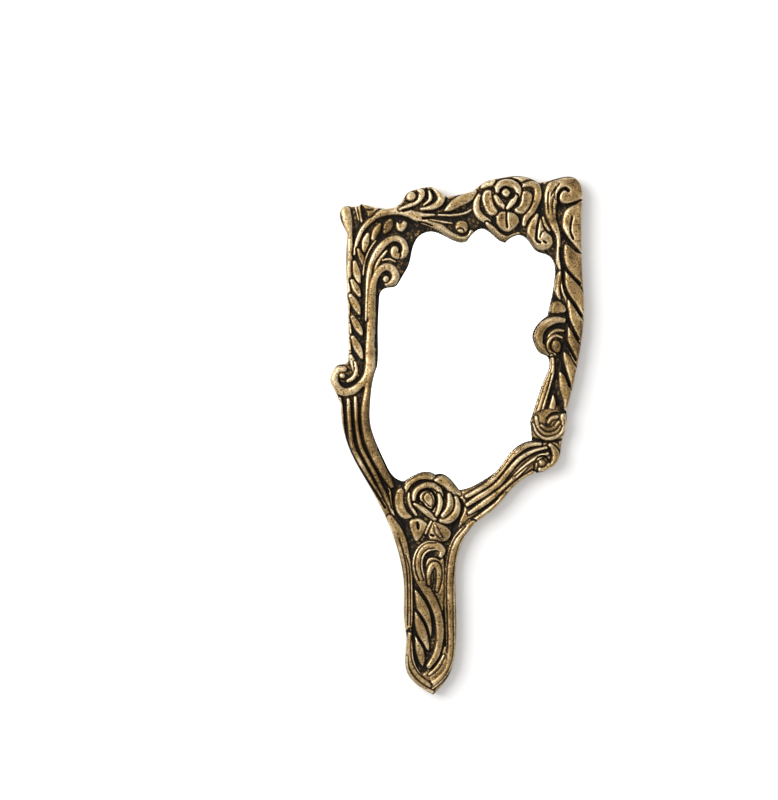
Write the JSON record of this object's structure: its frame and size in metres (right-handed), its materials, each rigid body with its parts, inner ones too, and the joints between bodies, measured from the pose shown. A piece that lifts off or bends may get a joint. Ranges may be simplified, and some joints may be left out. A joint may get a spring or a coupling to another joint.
{
  "type": "hand mirror",
  "caption": "Ornamental hand mirror in an antique gold cast frame with roses, scrolls and twisted leaves, a fluted neck and a pointed handle, lying face up on its screwed back.",
  "frame": {"origin": "middle of the outline, on the plane that the back rim rests on", "axes": "+Z out of the mirror's face, +Y from the handle's point towards the crest, +X to the right as seen facing the glass"},
  "size_m": [0.1234, 0.252, 0.0115],
  "materials": {
    "antique_gold": "antique gilt cast metal with near-black recesses and rubbed highlights",
    "gasket": "thin black strip",
    "glass": "clear float glass",
    "silvering": "silvered film with painted back",
    "card": "plain grey-brown board",
    "foam": "thin dark felt-like foam",
    "plate_brass": "satin brass sheet",
    "screw_brass": "turned brass"
  },
  "bodies": {
    "root": {"front_frame": "antique_gold", "glass_gasket": "gasket", "mirror_glass": "glass", "mirror_silvering": "silvering", "backing_card": "card", "foam_sheet": "foam", "back_plate": "plate_brass", "handle_plate": "plate_brass", "plate_screws": "screw_brass"}
  },
  "joints": []
}
